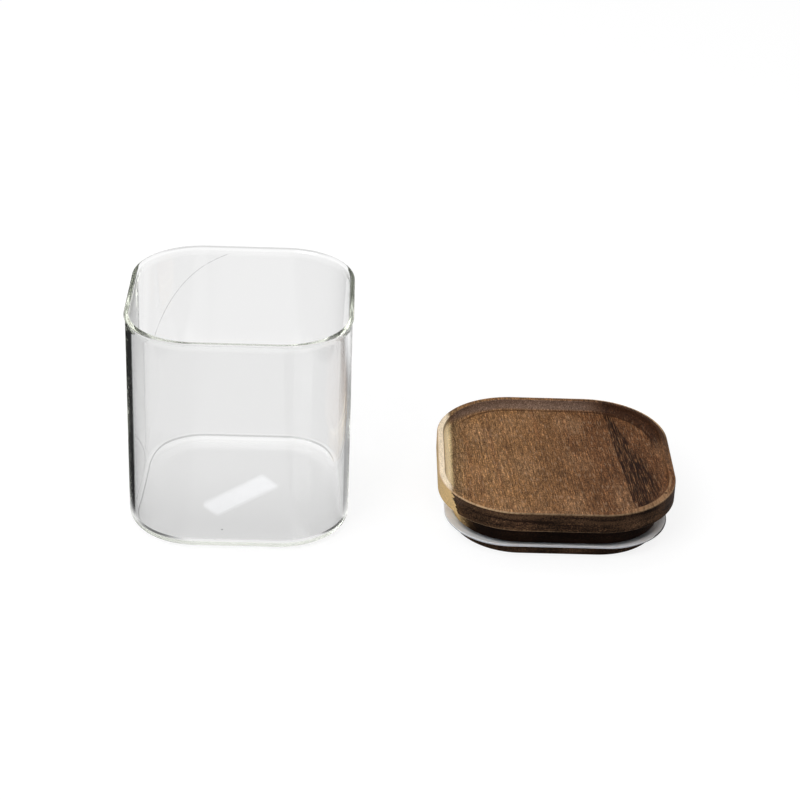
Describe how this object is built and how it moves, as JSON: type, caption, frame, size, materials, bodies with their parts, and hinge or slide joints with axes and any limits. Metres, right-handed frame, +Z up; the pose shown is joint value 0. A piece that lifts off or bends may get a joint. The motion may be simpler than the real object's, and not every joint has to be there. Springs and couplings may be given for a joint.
{
  "type": "glass storage jar",
  "caption": "Square clear glass storage jar with round corners, and its dished dark wooden plug lid with a silicone seal, taken off and standing beside it.",
  "frame": {"origin": "middle of the underside of the jar's base, on the surface that the jar stands on", "axes": "+Z up; +X from the jar towards the lid that stands beside it, the longest way across; +Y away from the viewer"},
  "size_m": [0.2498, 0.1084, 0.1035],
  "materials": {
    "glass": "clear, smooth, with a fire-polished round rim",
    "wood": "dark open-grained hardwood, oiled, satin, with pale sapwood along one edge",
    "silicone": "translucent white, satin"
  },
  "bodies": {
    "jar": {"glass_jar": "glass"},
    "lid": {"wooden_lid": "wood", "silicone_seal": "silicone"}
  },
  "joints": [
    {"name": "lid_lift", "type": "slide", "parent": "jar", "child": "lid", "axis": [0, 0, 1], "range_m": [0, 0.12]}
  ]
}
